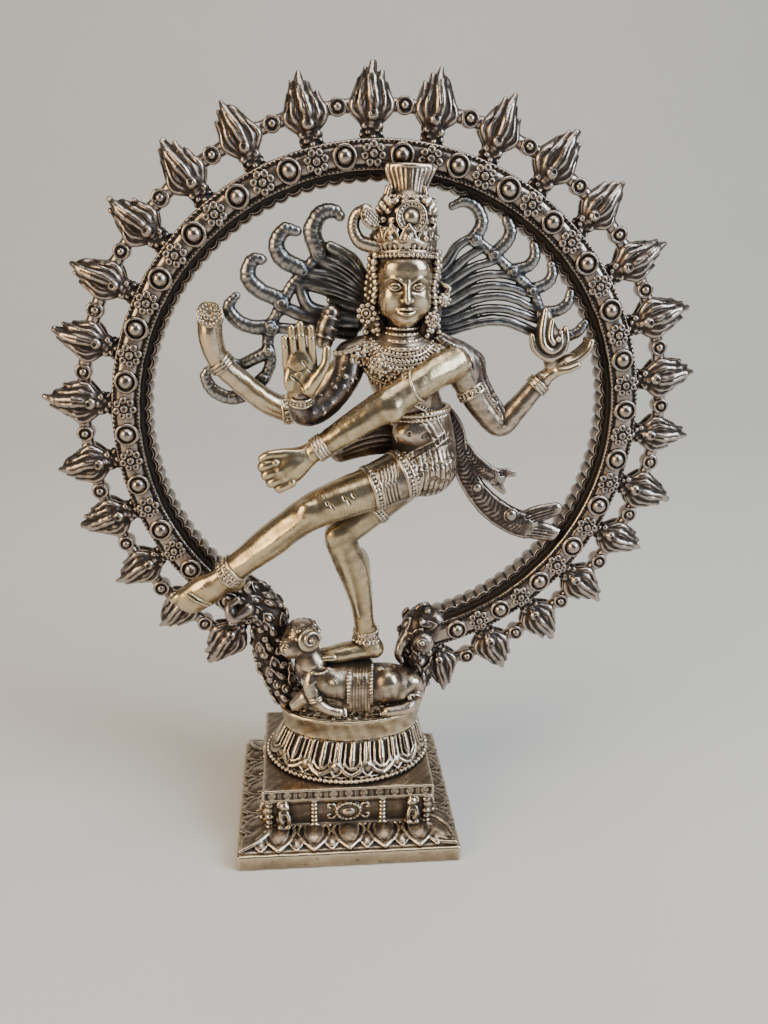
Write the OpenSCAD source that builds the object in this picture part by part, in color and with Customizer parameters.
// Dancing figure in a ring of flames: cast brass, standing on a stepped pedestal.
// Origin: middle of the pedestal's underside. +X to the figure's left hand side as seen from
// the front, +Y to the back, +Z up. All sizes in millimetres.

/* [Pedestal] */
// Width of the bottom slab
slab_w = 92; // [76:1:111]
// Depth of the bottom slab
slab_d = 81; // [67:1:98]
// Thickness of the bottom slab
slab_h = 7; // [5:0.5:10]
// Height of the sloping leaf course
course_h = 4; // [3:0.5:7]
// Height of the panelled dado
dado_h = 14; // [10:0.1:20]
// Step from the slab's edge in to the dado, at the front and back
dado_step_d = 13; // [10:0.5:15]
// Step from the slab's edge in to the dado, at the sides
dado_step_w = 13; // [10:0.5:15]
// Overhang of the cornice past the dado
cornice_out = 2.2; // [1:0.2:4]
// Thickness of the cornice
cornice_h = 5.3; // [4:0.1:8]
// Wall of the hollow courses
wall = 4; // [3:0.5:6]

/* [Lotus and platform] */
// Height of the lotus cushion
lotus_h = 13.7; // [10:0.1:18]
// Height of the plain oval band that the figure stands on
band_h = 10; // [7:0.5:14]
// Half width of the oval band
band_a = 31; // [25:0.5:38]
// Half depth of the oval band
band_b = 18; // [15:0.5:22]
// Sideways place of the oval band's middle
band_x = 2.5; // [0:0.5:4]

/* [Clamp screws] */
// Diameter of the two screws that hold the stack together
screw_d = 4; // [3:0.1:5]
// Distance between the two screws
screw_gap = 36; // [30:1:44]
// Radial clearance around the screws
screw_clear = 0.3; // [0.2:0.05:0.6]

/* [Ring] */
// Radius of the circle that the bosses stand on
ring_r = 96.4; // [80:0.1:116]
// Radial width of the ring's front face
ring_w = 10.4; // [8:0.2:14]
// Front-to-back depth of the ring
ring_d = 12; // [9:0.1:15]
// Width of the scalloped lip inside the front face
lip_w = 4.2; // [3:0.1:6]
// Step of the lip behind the front face
lip_back = 3; // [2:0.5:5]
// Clockwise lean of the ring's middle line
ring_lean = 9.5; // [6:0.5:12]
// Height of the flames above the ring's outer edge
flame_h = 24.4; // [20:0.2:30]
// Width of one flame
flame_w = 13; // [10:0.5:14]
// Distance of the outer rail's middle line from the ring's outer edge
rail_out = 11; // [7:0.5:13]
// Number of flames, an odd number
flame_count = 27; // [25:2:27]

/* [Figure] */
// Sideways place of the figure's middle line at the chest
body_x = 19; // [16:0.5:22]
// Height of the figure's chest above the platform
chest_h = 145; // [140:0.5:149]
// Height of the head, chin to forehead band
head_h = 25; // [20:0.5:30]
// Width of the head
head_w = 20; // [16:0.5:24]
// Radius of the hair strands and curls
curl_r = 2.1; // [1.6:0.1:2.6]

/* [Hidden] */

BRASS = [0.72, 0.60, 0.40];
WORN = [0.80, 0.70, 0.50];
DARK = [0.36, 0.29, 0.22];
STEEL = [0.62, 0.63, 0.65];

soft = 16; // facets of a rounded form made by hull()

// ---- derived pedestal values ----
course_z = slab_h;
dado_z = course_z + course_h;
cornice_z = dado_z + dado_h;
lotus_z = cornice_z + cornice_h;
band_z = lotus_z + lotus_h;
top_z = band_z + band_h;
dado_w = slab_w - 2 * dado_step_w;
dado_d = slab_d - 2 * dado_step_d;
cornice_w = dado_w + 2 * cornice_out;
cornice_d = dado_d + 2 * cornice_out;
screw_r = screw_d / 2;
head_r = screw_r * 1.9;
washer_r = head_r + 0.8;
washer_h = 0.8;
head_sink = 4.6; // depth of the counterbore in the slab
screw_top = top_z - 3; // blind end of the screw holes in the platform

// ---- derived ring values ----
step = 12; // degrees from flame to flame
half = step / 2;
ring_x = 13.3;
ring_out = ring_r + ring_w / 2;
ring_in = ring_r - ring_w / 2;
lip_in = ring_in - lip_w;
ring_rise = 26.6; // height of the ring's lowest point on its middle circle above the platform
ring_z = top_z + ring_rise + ring_r;
first = -(flame_count - 1) / 2;
last = (flame_count - 1) / 2;
gap_left = 180 + ring_lean + 19; // clockwise from the top, the left end of the ring
gap_right = 180 - ring_lean - 1.5; // clockwise from the top, the right end of the ring
rail_r = ring_out + rail_out;
rail_w = 4;
rail_y = ring_d / 2;
boss_r = 3.6;
boss_h = 1.4;

// ---- derived figure values ----
// The figure's points are written for a platform drawn_top high, a chest drawn_chest high and a
// middle line at drawn_x, and move with those.
drawn_top = 54;
drawn_chest = 199;
drawn_x = 19;
chest_z = top_z + chest_h;
lean_x = body_x - drawn_x; // sideways move of the whole figure
rise = top_z - drawn_top; // move up of everything on the platform
lift = chest_z - drawn_chest; // move up of everything above the hips
neck_z = chest_z + 9;
chin_z = neck_z + 8;
head_x = body_x + 0.6;
head_y = -7;
brow_z = chin_z + head_h;
crown_h = 27;
waist = [27 + lean_x, -4, 181 + lift];
waist_r = 9;

// A point in the ring's plane: angle clockwise from the top, radius.
function ring_at(angle, radius) = [ring_x + radius * sin(angle), 0, ring_z + radius * cos(angle)];
function unit(v) = v / norm(v);

// A point of the upper body, moved with the chest.
function moved(p) = [p[0] + lean_x, p[1], p[2] + lift];
// A point of the legs, moved with the platform, and sideways with the hips where s is 1.
function stood(p, s = 0) = [p[0] + s * lean_x, p[1], p[2] + rise];
// A point in the XZ plane or a ribbon's [x, z, half width], moved with the chest.
function hung(p) = [for (i = [0 : len(p) - 1]) p[i] + (i == 0 ? lean_x : i == 1 ? lift : 0)];
// A point on the ring's inner lip in the XZ plane: angle clockwise from the top, and how deep.
function on_lip(angle, into) =
  let (p = ring_at(angle, lip_in + into)) [p[0], p[2]];

// Centre of the circle through a and b (in the XZ plane) whose arc stands s proud of the chord.
function arc_radius(a, b, s) = (pow(norm(b - a) / 2, 2) + s * s) / (2 * abs(s));
function arc_centre(a, b, s) =
  let (m = (a + b) / 2, d = unit(b - a), n = [-d[1], d[0]], r = arc_radius(a, b, s))
  m - n * sign(s) * (r - abs(s));

// Left and right outline of a ribbon along a path of [x, z, half width].
function heading(path, i) =
  let (a = path[max(i - 1, 0)], b = path[min(i + 1, len(path) - 1)])
  unit([b[0] - a[0], b[1] - a[1]]);
function side(path, i, s) =
  let (d = heading(path, i)) [path[i][0] - s * d[1] * path[i][2], path[i][1] + s * d[0] * path[i][2]];
function outline(path) = concat(
  [for (i = [0 : len(path) - 1]) side(path, i, 1)],
  [for (i = [len(path) - 1 : -1 : 0]) side(path, i, -1)]
);

// Stands its children's Z axis on the line from a to b, starting at a.
module along(a, b) {
  d = b - a;
  translate(a) rotate([0, acos(d[2] / norm(d)), atan2(d[1], d[0])]) children();
}

// A tapered round limb from a to b with flat ends.
module cone_between(a, b, ra, rb) {
  along(a, b) cylinder(h = norm(b - a), r1 = ra, r2 = rb, $fn = 48);
}

module ball(p, r) {
  translate(p) sphere(r = r, $fn = 48);
}

module soft_ball(p, r) {
  translate(p) sphere(r = r, $fn = soft);
}

// A band around a limb: starts at distance at from a, on the way to b.
module cuff(a, b, at, h, r_in, r_out) {
  along(a, b) translate([0, 0, at]) difference() {
    cylinder(h = h, r = r_out, $fn = 48);
    translate([0, 0, -1]) cylinder(h = h + 2, r = r_in, $fn = 48);
  }
}

// A thing drawn in XY is stood up in the XZ plane, thickness t, its middle at depth y.
module upright(y, t) {
  translate([0, y + t / 2, 0]) rotate([90, 0, 0]) linear_extrude(t) children();
}

// A round rod along an arc in the XZ plane at depth y, from a to b, standing s proud.
module arc_rod(a, b, s, r, y) {
  c = arc_centre(a, b, s);
  big = arc_radius(a, b, s);
  from = atan2(a[1] - c[1], a[0] - c[0]);
  to = atan2(b[1] - c[1], b[0] - c[0]);
  sweep_cw = (s > 0) ? from - to : to - from;
  sweep = sweep_cw > 0 ? sweep_cw : sweep_cw + 360;
  start = s > 0 ? to : from;
  translate([c[0], y, c[1]]) rotate([90, 0, 0]) rotate([0, 0, start])
    rotate_extrude(angle = sweep, $fn = 96) translate([big, 0]) circle(r = r, $fn = 32);
}

// Everything beyond the plane through p that faces along d is removed.
module beyond(p, d) {
  along(p, p + d) translate([-60, -60, 0]) cube([120, 120, 60]);
}

module screw_holes(r, z0, z1) {
  for (sx = [-1, 1])
    translate([band_x + sx * screw_gap / 2, 0, z0]) cylinder(h = z1 - z0, r = r, $fn = 48);
}

// An oval plug: half axes grow from (a0, b0) at the bottom to (a1, b1) at the top.
module oval_course(a0, b0, a1, h) {
  linear_extrude(h, scale = a1 / a0) scale([1, b0 / a0]) circle(r = a0, $fn = 64);
}

// ---- pedestal ----
module base_slab() {
  color(WORN) difference() {
    translate([-slab_w / 2, -slab_d / 2, 0]) cube([slab_w, slab_d, slab_h]);
    screw_holes(screw_r + screw_clear, -1, slab_h + 1);
    screw_holes(washer_r + screw_clear, -1, head_sink);
  }
}

module leaf_course() {
  lip = 1.5; // flat margin left around the course on the slab
  color(DARK) difference() {
    hull() {
      translate([-slab_w / 2 + lip, -slab_d / 2 + lip, course_z])
        cube([slab_w - 2 * lip, slab_d - 2 * lip, course_h * 0.3]);
      translate([-dado_w / 2, -dado_d / 2, course_z]) cube([dado_w, dado_d, course_h]);
    }
    translate([-dado_w / 2 + wall, -dado_d / 2 + wall, course_z - 1])
      cube([dado_w - 2 * wall, dado_d - 2 * wall, course_h + 2]);
  }
}

module dado() {
  color(DARK) translate([-dado_w / 2, -dado_d / 2, dado_z]) difference() {
    cube([dado_w, dado_d, dado_h]);
    translate([wall, wall, -1]) cube([dado_w - 2 * wall, dado_d - 2 * wall, dado_h + 2]);
  }
}

module dado_pilasters() {
  w = 3;
  out = 1.2;
  x = dado_w * 0.215;
  color(BRASS) for (sx = [-1, 1], sy = [-1, 1])
    translate([sx * x - w / 2, sy > 0 ? dado_d / 2 : -dado_d / 2 - out, dado_z])
      cube([w, out, dado_h]);
}

module dado_medallions() {
  r = min(dado_h, dado_w / 5) * 0.38;
  out = 1.4;
  color(WORN) for (turn = [0, 180])
    rotate([0, 0, turn]) translate([0, -dado_d / 2, dado_z + dado_h / 2])
      rotate([90, 0, 0]) cylinder(h = out, r1 = r, r2 = r * 0.8, $fn = 48);
  color(WORN) for (turn = [90, 270])
    rotate([0, 0, turn]) translate([0, -dado_w / 2, dado_z + dado_h / 2])
      rotate([90, 0, 0]) cylinder(h = out, r1 = r, r2 = r * 0.8, $fn = 48);
}

// Turned supports around the dado's corners, under the cornice.
module corner_balusters() {
  r = cornice_out;
  color(BRASS) difference() {
    for (sx = [-1, 1], sy = [-1, 1]) translate([sx * dado_w / 2, sy * dado_d / 2, dado_z])
      rotate_extrude($fn = 32) polygon([
        [0, 0], [r, 0], [r, dado_h * 0.15], [r * 0.6, dado_h * 0.3], [r, dado_h * 0.6],
        [r * 0.6, dado_h * 0.85], [r, dado_h], [0, dado_h]
      ]);
    translate([-dado_w / 2, -dado_d / 2, dado_z - 1]) cube([dado_w, dado_d, dado_h + 2]);
  }
}

module cornice() {
  color(BRASS) difference() {
    translate([-cornice_w / 2, -cornice_d / 2, cornice_z]) cube([cornice_w, cornice_d, cornice_h]);
    screw_holes(screw_r + screw_clear, cornice_z - 1, lotus_z + 1);
  }
}

module lotus_cushion() {
  a0 = cornice_w / 2 - 0.5;
  b0 = cornice_d / 2 - 1.5;
  color(BRASS) difference() {
    hull() {
      translate([band_x * 0.4, 0, lotus_z]) oval_course(a0, b0, a0, 3);
      translate([band_x, 0, band_z - 1]) oval_course(band_a - 2, band_b - 0.5, band_a - 2, 1);
    }
    screw_holes(screw_r + screw_clear, lotus_z - 1, band_z + 1);
  }
}

module platform_band() {
  color(WORN) difference() {
    translate([band_x, 0, band_z]) oval_course(band_a - 2, band_b - 1, band_a, band_h);
    screw_holes(screw_r, band_z - 1, screw_top);
  }
}

module clamp_screws() {
  color(STEEL) for (sx = [-1, 1]) translate([band_x + sx * screw_gap / 2, 0, 0]) {
    translate([0, 0, head_sink - washer_h]) cylinder(h = screw_top - head_sink, r = screw_r, $fn = 48);
    difference() {
      translate([0, 0, head_sink - washer_h - 3]) cylinder(h = 3, r = head_r, $fn = 48);
      translate([-head_r, -0.5, head_sink - washer_h - 4]) cube([2 * head_r, 1, 2]);
    }
  }
}

module clamp_washers() {
  color(STEEL) for (sx = [-1, 1])
    translate([band_x + sx * screw_gap / 2, 0, head_sink - washer_h]) difference() {
      cylinder(h = washer_h, r = washer_r, $fn = 48);
      translate([0, 0, -1]) cylinder(h = washer_h + 2, r = screw_r + 0.1, $fn = 48);
    }
}

// ---- dwarf under the dancer's foot ----
dwarf_h = 22; // height of the back that the foot stands on
dwarf_z = top_z;

module dwarf_body() {
  color(BRASS) difference() {
    union() {
      hull() {
        soft_ball([-8 + band_x, -3, dwarf_z + 13], 9);
        soft_ball([4 + band_x, -3, dwarf_z + 11], 8);
      }
      hull() {
        soft_ball([4 + band_x, -3, dwarf_z + 11], 8);
        soft_ball([14 + band_x, -4, dwarf_z + 11], 9.5);
      }
      hull() {
        soft_ball([16 + band_x, -4, dwarf_z + 9], 7);
        soft_ball([24 + band_x, 0, dwarf_z + 5], 4);
      }
      hull() {
        soft_ball([-12 + band_x, -6, dwarf_z + 9], 4);
        soft_ball([-17 + band_x, -9, dwarf_z + 3], 4);
      }
    }
    translate([-60, -60, dwarf_z - 40]) cube([120, 120, 40]);
    translate([-60, -60, dwarf_z + dwarf_h]) cube([120, 120, 40]);
    cone_between(right_foot, right_knee, slim, slim * 0.95);
    dwarf_seam(-1);
  }
}

module dwarf_head() {
  head_c = [-21.5 + band_x, -5, dwarf_z + 32.4];
  nape = [-21 + band_x, -4, dwarf_z + 21];
  color(BRASS) difference() {
    union() {
      hull() {
        soft_ball(head_c, 7.9);
        soft_ball(head_c + [-2.5, -2.5, -1.5], 6.2);
      }
      hull() {
        soft_ball(nape, 4.2);
        soft_ball(head_c, 4.8);
      }
      hull() {
        soft_ball([-15.5 + band_x, -4, dwarf_z + 14], 4.6);
        soft_ball(nape, 4.2);
      }
    }
    dwarf_seam(1);
  }
}

// Removes the body's side (s = 1) or the head's side (s = -1) of the seam between the two.
module dwarf_seam(s) {
  beyond([-14.5 + band_x, -4, dwarf_z + 20], s * [1, 0, -0.25]);
}

// ---- ring of flames ----
// The section of the ring: front face at y = 0, a stepped lip inside, drawn at radius along X.
module ring_section() {
  polygon([
    [lip_in, -lip_back], [ring_in, -lip_back], [ring_in, 0], [ring_out, 0],
    [ring_out, -ring_d], [lip_in, -ring_d]
  ]);
}

module ring_sweep(from, to) {
  // Angles are clockwise from the top, seen from the front.
  translate([ring_x, 0, ring_z]) rotate([90, 0, 0]) rotate([0, 0, 90 - to])
    rotate_extrude(angle = to - from, $fn = 180) children();
}

module ring_band() {
  color(BRASS) ring_sweep(gap_left - 360, gap_right) ring_section();
}

module ring_bosses() {
  color(WORN) for (i = [first : last - 1]) {
    p = ring_at(ring_lean + i * step + half, ring_r);
    translate(p) rotate([90, 0, 0]) {
      cylinder(h = boss_h, r = boss_r, $fn = 32);
      translate([0, 0, boss_h]) cylinder(h = 1.2, r1 = boss_r * 0.6, r2 = boss_r * 0.25, $fn = 32);
    }
  }
}

module ring_rosettes() {
  petal = 1.7;
  color(BRASS) for (i = [first + 1 : last - 1]) {
    translate(ring_at(ring_lean + i * step, ring_r)) rotate([90, 0, 0]) {
      cylinder(h = boss_h, r = boss_r + 0.4, $fn = 32);
      translate([0, 0, boss_h]) cylinder(h = 0.9, r = petal, $fn = 24);
    }
  }
}

// The outer rail that ties the flames to each other.
module rail_section(grow) {
  translate([rail_r - rail_w / 2 - grow, -rail_y - rail_w / 2 - grow])
    square([rail_w + 2 * grow, rail_w + 2 * grow]);
}

module flame_rail() {
  color(DARK) difference() {
    ring_sweep(ring_lean + first * step, ring_lean + last * step) rail_section(0);
    for (i = [first : last - 1]) rail_bead_at(i, bead_r);
  }
}

bead_r = 3.7;
bead_len = 8;

module rail_bead_at(i, r) {
  p = ring_at(ring_lean + i * step + half, rail_r);
  translate([p[0], rail_y - bead_len / 2, p[2]]) rotate([-90, 0, 0])
    cylinder(h = bead_len, r = r, $fn = 32);
}

module rail_beads() {
  color(BRASS) for (i = [first : last - 1]) rail_bead_at(i, bead_r);
}

// One flame: a turned bud that stands on the ring's outer edge.
module flame_bud() {
  r = flame_w / 2;
  rotate_extrude($fn = 32) polygon([
    [0, 0.2], [r * 0.55, 0.2], [r * 0.5, flame_h * 0.12], [r, flame_h * 0.38],
    [r * 0.95, flame_h * 0.58], [r * 0.7, flame_h * 0.82], [0, flame_h]
  ]);
}

module ring_flames() {
  color(WORN) for (i = [first : last]) {
    a = ring_lean + i * step;
    difference() {
      translate(ring_at(a, ring_out)) translate([0, rail_y, 0]) rotate([0, a, 0]) flame_bud();
      ring_sweep(a - step / 2, a + step / 2) rail_section(0);
    }
  }
}

// Sockets that take the ring's two ends and stand on the platform band.
// The socket around the ring's end: a closed cup below the end, and an open sleeve that wraps the
// ring's front, back and inner faces. It is cut off at the ring's outer edge, where the end flame is.
socket_r = norm([(ring_out - lip_in) / 2, ring_d / 2]) + 0.9;
cup = 2.5; // angle that the cup takes up
module socket_section(r) {
  translate([(ring_out + lip_in) / 2, -ring_d / 2]) circle(r = r, $fn = 64);
}

// A curved leg from the platform up to the ring's end at angle end, and the socket on it.
// s is 1 where the ring goes on clockwise from that end, and -1 where it goes on the other way.
slim = 5.6; // radius of a leg
module ring_foot(foot, knee, end, s, sleeve) {
  ends = [end - s * cup, end];
  walls = [end - s * cup / 4, end + s * sleeve];
  difference() {
    union() {
      cone_between(foot, knee, slim, slim * 0.95);
      ball(knee, slim);
      cone_between(knee, section_at(end - s * cup / 2), slim * 0.9, slim * 1.2);
    }
    translate([-100, -60, top_z - 50]) cube([200, 120, 50]);
    ring_sweep(min(end - s * cup / 5, end + s * 20), max(end - s * cup / 5, end + s * 20))
      translate([lip_in - ring_d, -2 * ring_d]) square([ring_d * 4, ring_d * 3]);
  }
  ring_sweep(min(ends), max(ends)) socket_section(socket_r);
  ring_sweep(min(walls), max(walls)) difference() {
    socket_section(socket_r - 0.2);
    ring_section();
    translate([ring_out, -2 * ring_d]) square([ring_w * 2, ring_d * 3]);
  }
}

// A point on the middle of the ring's section.
function section_at(angle) = ring_at(angle, (ring_out + lip_in) / 2) + [0, ring_d / 2, 0];

module ring_foot_left() {
  color(DARK) ring_foot([band_x - band_a + 6, 4, top_z - 4], [band_x - band_a - 4, 5, top_z + 19],
    gap_left, 1, 4.5);
}

right_foot = [band_x + band_a - 7, 4, top_z - 4];
right_knee = [band_x + band_a - 1, 5, top_z + 12];
module ring_foot_right() {
  color(DARK) ring_foot(right_foot, right_knee, gap_right, -1, 5);
}

// ---- the dancer ----

module torso() {
  color(BRASS) difference() {
    torso_solid(0);
    beyond(moved([19, -4, 207.5]), [0, 0, 1]);
    beyond(waist, [0, 0, -1]);
    beyond(moved([36.5, -4, 200]), [1, -0.2, 0]);
    beyond(moved([3, -4, 201]), [-1, -0.2, 0]);
  }
}

hip_l = stood([22, -6, 163], 1);
hip_r = stood([31, -3, 161], 1);

module hips() {
  color(WORN) difference() {
    hull() {
      soft_ball(waist + [0, 0, -2], waist_r);
      soft_ball(hip_l, 10);
      soft_ball(hip_r, 11);
    }
    beyond(waist, [0, 0, 1]);
    beyond(raised_hip, raised_knee - raised_hip);
    beyond(standing_hip, standing_knee - standing_hip);
  }
}

module belt() {
  color(BRASS) translate([waist[0], waist[1], waist[2] - 2]) difference() {
    cylinder(h = 4, r = waist_r + 1.4, $fn = 48);
    translate([0, 0, -1]) cylinder(h = 6, r = waist_r, $fn = 48);
  }
}

raised_hip = stood([15, -9, 159], 1);
raised_knee = stood([-16.4, -17, 148.5]);
raised_ankle = stood([-44, -15, 124]);
standing_hip = stood([20, -3, 151], 1);
standing_knee = stood([-3, -9, 134.5]);
standing_calf = stood([3, -5, 116]);
standing_ankle = stood([7, -4, 93]);
sole_z = dwarf_z + dwarf_h;
thigh_r = 9;

module raised_thigh() {
  cone_between(raised_hip, raised_knee, thigh_r, 7);
}

module raised_leg() {
  color(WORN) {
    raised_thigh();
    ball(raised_knee, 7.3);
    cone_between(raised_knee, raised_ankle, 6.8, 5);
  }
}

module raised_foot() {
  color(WORN) difference() {
    hull() {
      soft_ball(raised_ankle + [-2, 0, -1], 5.6);
      soft_ball(stood([-46, -12.5, 111]), 5.5);
      soft_ball(stood([-64, -9, 110]), 3.4);
      soft_ball(stood([-62, -9, 106]), 3);
    }
    beyond(raised_ankle, raised_knee - raised_ankle);
  }
}

module standing_leg() {
  color(WORN) difference() {
    standing_shape();
    raised_thigh();
  }
}

module standing_shape() {
  union() {
    cone_between(standing_hip, standing_knee, 8, 6.2);
    ball(standing_knee, 6.5);
    cone_between(standing_knee, standing_calf, 6, 5.2);
    ball(standing_calf, 5.4);
    cone_between(standing_calf, standing_ankle, 5.1, 3.5);
  }
}

module standing_foot() {
  color(WORN) difference() {
    hull() {
      soft_ball(standing_ankle + [0, 0, 1], 4);
      soft_ball([11, -2, sole_z + 3], 4.4);
      soft_ball([-11, -6, sole_z + 2], 3);
      soft_ball([-10, -2, sole_z + 2], 2.6);
    }
    beyond(standing_ankle, standing_calf - standing_ankle);
    translate([-60, -60, sole_z - 40]) cube([120, 120, 40]);
  }
}

module anklets() {
  color(BRASS) for (i = [0 : 2])
    cuff(raised_ankle, raised_knee, 0.5 + i * 2.6, 1.8, 5.8, 7);
  color(BRASS) cuff(standing_ankle, standing_calf, 0.5, 2.2, 3.9, 5.4);
}

module thigh_bands() {
  color(BRASS) difference() {
    for (at = [2, 5.4]) cuff(raised_hip, raised_knee, at, 1.8, thigh_r, thigh_r + 1.2);
    standing_shape();
  }
}

crossing_shoulder = moved([37, -9, 202]);
crossing_elbow = moved([23, -16, 193.5]);
crossing_wrist = moved([-12.2, -21, 172.3]);

module crossing_arm() {
  color(WORN) difference() {
    union() {
      ball(crossing_shoulder, 7.2);
      cone_between(crossing_shoulder, crossing_elbow, 6.8, 5.8);
      ball(crossing_elbow, 6);
      cone_between(crossing_elbow, crossing_wrist, 5.7, 4.1);
    }
    torso_solid(0.05);
  }
}

module crossing_hand() {
  color(WORN) difference() {
    hull() {
      soft_ball(crossing_wrist + [-2, 0, -1], 4.2);
      soft_ball(moved([-28, -22, 170]), 4);
      soft_ball(moved([-28, -21, 163]), 4.6);
      soft_ball(moved([-22, -22, 162.5]), 4.6);
    }
    beyond(crossing_wrist, crossing_elbow - crossing_wrist);
  }
}

// The torso's outline, slightly grown, which the arms are fitted against.
module torso_solid(grow) {
  hull() {
    soft_ball(moved([3, -1, 201]), 6.5 + grow);
    soft_ball(moved([37, -1, 199]), 6.5 + grow);
    soft_ball(moved([19, -5, 198]), 9.5 + grow);
    soft_ball(waist + [0, 0, 3], waist_r - 0.5 + grow);
  }
}

blessing_shoulder = moved([3, -5, 200]);
blessing_elbow = moved([-15, -13, 187]);
blessing_wrist = moved([-17, -22, 192.5]);

module blessing_arm() {
  color(DARK) difference() {
    union() {
      cone_between(blessing_shoulder, blessing_elbow, 6.2, 5.4);
      ball(blessing_elbow, 5.7);
      cone_between(blessing_elbow, blessing_wrist, 5.2, 4.4);
    }
    torso_solid(0.05);
  }
}

module blessing_hand() {
  palm = blessing_wrist + [0, -1.5, 9];
  tips = blessing_wrist + [0, -2, 26];
  color(WORN) difference() {
    union() {
      hull() {
        soft_ball(blessing_wrist + [0, 0, 1], 4.4);
        soft_ball(palm + [-3.5, 0, 0], 3);
        soft_ball(palm + [3.5, 0, 0], 3);
      }
      hull() {
        soft_ball(palm + [-4, 0, 2], 2.4);
        soft_ball(palm + [4, 0, 2], 2.4);
        soft_ball(tips + [-3.6, 0, -2], 1.8);
        soft_ball(tips + [3, 0, 0], 1.8);
      }
      hull() {
        soft_ball(palm + [4, 0, -3], 2.6);
        soft_ball(palm + [8, -1, 6], 1.7);
      }
    }
    beyond(blessing_wrist, blessing_elbow - blessing_wrist);
  }
}

drum_shoulder = moved([3, 1, 200]);
drum_elbow = moved([-26, -1, 184.5]);
drum_wrist = moved([-45.5, -4, 201]);
drum_c = moved([-49.2, -5, 218.5]);

module drum_arm() {
  grip = drum_c + [0, 1, -5];
  color(WORN) difference() {
    union() {
      cone_between(drum_shoulder, drum_elbow, 5.6, 4.8);
      ball(drum_elbow, 5);
      cone_between(drum_elbow, drum_wrist, 4.6, 4);
      ball(drum_wrist, 4.2);
      cone_between(drum_wrist, grip, 4, 4.5);
    }
    torso_solid(0.05);
    blessing_shape();
    translate(drum_c) rotate([90, 0, 0]) cylinder(h = 40, r = 5.4, center = true, $fn = 48);
  }
}

module blessing_shape() {
  cone_between(blessing_shoulder + [4, 0, 3], blessing_elbow, 6.3, 5.5);
  ball(blessing_elbow, 5.8);
  cone_between(blessing_elbow, blessing_wrist, 5.3, 4.5);
}

module drum() {
  r = 5.4;
  color(WORN) translate(drum_c + [0, 5, 0]) rotate([90, 0, 0]) rotate_extrude($fn = 48) polygon([
    [0, 0], [r, 0], [r, 1.5], [r * 0.6, 5], [r, 8.5], [r, 10], [0, 10]
  ]);
}

flame_shoulder = moved([43, -1, 199]);
flame_elbow = moved([61, -2, 175]);
flame_wrist = moved([75.5, -2, 193]);
flame_palm = moved([81, -2, 200]);
flame_tips = [ring_x + 79, -1, 206.5 + lift];

module flame_arm() {
  color(WORN) difference() {
    union() {
      ball(flame_shoulder, 6.2);
      cone_between(flame_shoulder, flame_elbow, 5.6, 4.4);
      ball(flame_elbow, 4.6);
      cone_between(flame_elbow, flame_wrist, 4.2, 3.4);
    }
    torso_solid(0.05);
    crossing_shape();
  }
}

module crossing_shape() {
  ball(crossing_shoulder, 7.3);
  cone_between(crossing_shoulder, crossing_elbow, 6.9, 5.9);
}

module flame_hand() {
  color(WORN) difference() {
    hull() {
      soft_ball(flame_wrist + [1, 0, 1], 3.6);
      soft_ball(flame_palm, 3.4);
      soft_ball(flame_tips, 1.8);
    }
    beyond(flame_wrist, flame_elbow - flame_wrist);
    held_flame_cut();
  }
}

module held_flame_cut() {
  beyond(flame_palm + [0, 0, 2.6], [-0.4, 0, 1]);
}

module held_flame() {
  r = 5.6;
  base = flame_palm + [0, 0, 2.6];
  color(WORN) along(base, base + [-0.4, 0, 1]) rotate_extrude($fn = 48) polygon([
    [0, 0], [r * 0.5, 0], [r, 5], [r * 0.95, 9], [r * 0.4, 15], [0, 18]
  ]);
}

module bangles() {
  color(BRASS) {
    for (at = [33, 36.5]) cuff(crossing_elbow, crossing_wrist, at, 2.2, 5, 5.9);
    for (at = [4, 7]) cuff(crossing_elbow, crossing_wrist, at, 2, 5.7, 6.8);
    cuff(drum_elbow, drum_wrist, 22, 3, 4.25, 5.2);
    cuff(flame_elbow, flame_wrist, 19, 1.8, 3.7, 4.6);
    cuff(flame_shoulder, flame_elbow, 9, 4, 5.4, 6.6);
  }
}

// ---- head and headdress ----
module head() {
  c = [head_x, head_y, chin_z + head_h / 2];
  color(WORN) difference() {
    union() {
      cylinder_neck();
      hull() {
        soft_ball(c + [0, 1, 2.5], head_w / 2);
        soft_ball(c + [0, -3, -head_h / 2 + 4.6], 4.6);
      }
      hull() {
        soft_ball(c + [0, -head_w / 2 + 0.6, 2], 1);
        soft_ball(c + [0, -head_w / 2 - 0.6, -2.5], 1.5);
      }
    }
    beyond([head_x, head_y, brow_z - 2], [0, 0, 1]);
    beyond(moved([19, -4, 207.5]), [0, 0, -1]);
  }
}

module cylinder_neck() {
  translate([head_x, head_y + 2, neck_z - 1]) cylinder(h = 12, r = 5.6, $fn = 32);
}

// The tall headdress: a turned stack of bands that narrows and flares again at the top.
module crown_shape() {
  r = head_w / 2 + 2.3;
  translate([head_x + 0.8, head_y + 2, brow_z - 2]) rotate_extrude($fn = 64) polygon([
    [0, 0], [r, 0], [r, 5], [r * 0.8, 9], [r * 0.95, 13], [r * 0.72, 18],
    [r * 0.52, 21], [r * 0.6, crown_h - 3], [0, crown_h - 3]
  ]);
}

module crown() {
  color(BRASS) crown_shape();
}

module crown_snake() {
  c = [head_x - 13, head_y + 1, brow_z + 9.5];
  color(BRASS) difference() {
    translate(c) rotate([90, 0, 0]) rotate([0, 0, 60])
      rotate_extrude(angle = 290, $fn = 64) translate([3.8, 0]) circle(r = 2.1, $fn = 32);
    crown_shape();
  }
}

module earrings() {
  z = chin_z + 5;
  reach = head_w / 2 + 2.6;
  color(BRASS) for (sx = [-1, 1]) translate([head_x + sx * reach, head_y - 2, z])
    rotate([90, 0, 0]) cylinder(h = 3, r = 3.2, $fn = 32);
}

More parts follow.
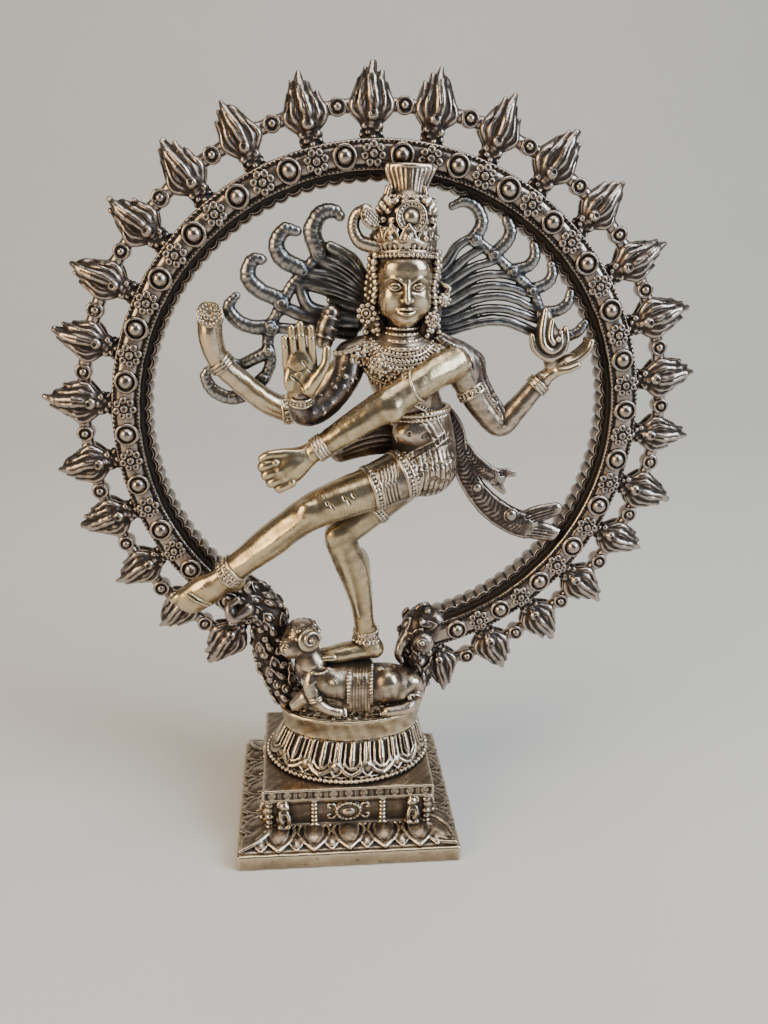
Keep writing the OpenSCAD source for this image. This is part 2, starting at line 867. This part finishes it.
module necklace() {
  color(BRASS) translate([head_x, head_y + 2, neck_z - 0.4]) difference() {
    union() {
      cylinder(h = 1.4, r1 = 11, r2 = 9.5, $fn = 48);
      translate([0, 0, 1.4]) cylinder(h = 1.6, r1 = 8.5, r2 = 7.5, $fn = 48);
    }
    translate([0, 0, -1]) cylinder(h = 5, r = 5.6, $fn = 48);
  }
}

// A lug at the crown's top bears on the ring's inner face, and a pin holds it there.
module crown_lug() {
  x = head_x + 0.8;
  z0 = brow_z - 2 + crown_h - 3;
  z1 = ring_z + sqrt(ring_in * ring_in - pow(x + 6 - ring_x, 2)) + 2;
  color(BRASS) difference() {
    translate([x - 6, head_y + 2 - 4, z0]) cube([12, 9, z1 - z0]);
    ring_sweep(-10, 30) ring_section();
    crown_pin_shape(0);
  }
}

module crown_pin_shape(grow) {
  translate([head_x + 0.8, -4, ring_z + ring_in - 1.2]) rotate([-90, 0, 0])
    cylinder(h = 4, r = 0.9 + grow, $fn = 24);
}

module crown_pin() {
  color(DARK) crown_pin_shape(0);
}

hair_y = 3;
// Where the chain of knobs on each side runs: points in the XZ plane.
chain_left = [
  for (p = [[-8, 240], [-18, 232.6], [-24, 223.7], [-29, 213.4], [-31.2, 206.4], [-31.6, 196]]) hung(p)
];
chain_right = [
  for (p = [[45, 244.5], [53.3, 240], [60, 234], [68.5, 227], [72.5, 220.5], [77, 212]]) hung(p)
];
// Each curl: end point, how far its arc bows. The right ones but the first bear on the ring's lip.
curls_left = [
  [hung([-4, 251.5]), 5], [hung([-20, 247]), 5.5], [hung([-31, 237.5]), 5.5], [hung([-42, 223]), 4.5],
  [hung([-41, 199]), -4], [hung([-52, 193]), -8]
];
bite = 0.8; // how deep a curl's middle line runs into the lip before the ring cuts it off
curls_right = [
  [hung([40, 256.5]), -6], [on_lip(33.4, bite), 4], [on_lip(42.5, bite), 4],
  [on_lip(49.5, bite), 3.5], [on_lip(56.6, bite), 3], [on_lip(65.8, bite), 3]
];

module hair(chain, curls, root, s) {
  for (i = [0 : len(chain) - 1]) {
    p = chain[i];
    ball([p[0], hair_y, p[1]], curl_r * 1.45);
    arc_rod(root - [0, i * 2], p, s * (3.5 - i * 1.1), curl_r * 0.8, hair_y);
    arc_rod(p, curls[i][0], curls[i][1], curl_r, hair_y);
    if (i > 0) cone_between([chain[i - 1][0], hair_y, chain[i - 1][1]],
      [p[0], hair_y, p[1]], curl_r, curl_r);
  }
}

module hair_left() {
  color(DARK) difference() {
    hair(chain_left, curls_left, [head_x - 9, chin_z + 9], 1);
    head_core();
    torso_solid(0.05);
  }
}

module hair_right() {
  color(DARK) difference() {
    hair(chain_right, curls_right, [head_x + 9, chin_z + 9], -1);
    head_core();
    torso_solid(0.05);
    ring_sweep(0, 110) ring_section();
  }
}

module head_core() {
  translate([head_x, head_y + 1, chin_z - 2]) cylinder(h = head_h + 12, r = head_w / 2 + 2.4, $fn = 64);
}

sash_t = 4;
module sash() {
  main = [
    [waist[0] + 11, waist[2] + 1, 4], hung([43, 173.7, 4.2]), hung([45, 163, 4]),
    hung([52, 148, 4.2]), hung([64.5, 136, 4.4]), concat(on_lip(125.8, -7.3), 4.6),
    concat(on_lip(123.9, 1.8), 5.5)
  ];
  tail = [
    hung([46, 164, 3.4]), hung([53, 157, 3.4]), hung([60, 153.6, 3.8]), hung([66, 152.6, 4.4])
  ];
  color(BRASS) difference() {
    union() {
      upright(1, sash_t) polygon(outline(main));
      upright(1, sash_t) polygon(outline(tail));
    }
    ring_sweep(90, 150) ring_section();
    translate([waist[0], waist[1], waist[2] - 6]) cylinder(h = 14, r = waist_r + 1.4, $fn = 48);
    soft_ball(hip_r, 11.2);
  }
}

base_slab();
leaf_course();
dado();
dado_pilasters();
dado_medallions();
corner_balusters();
cornice();
lotus_cushion();
platform_band();
clamp_screws();
clamp_washers();
dwarf_body();
dwarf_head();
ring_band();
ring_bosses();
ring_rosettes();
flame_rail();
rail_beads();
ring_flames();
ring_foot_left();
ring_foot_right();
crown_lug();
crown_pin();
torso();
hips();
belt();
standing_leg();
standing_foot();
raised_leg();
raised_foot();
anklets();
thigh_bands();
crossing_arm();
crossing_hand();
blessing_arm();
blessing_hand();
drum_arm();
drum();
flame_arm();
flame_hand();
held_flame();
bangles();
head();
crown();
crown_snake();
earrings();
necklace();
hair_left();
hair_right();
sash();
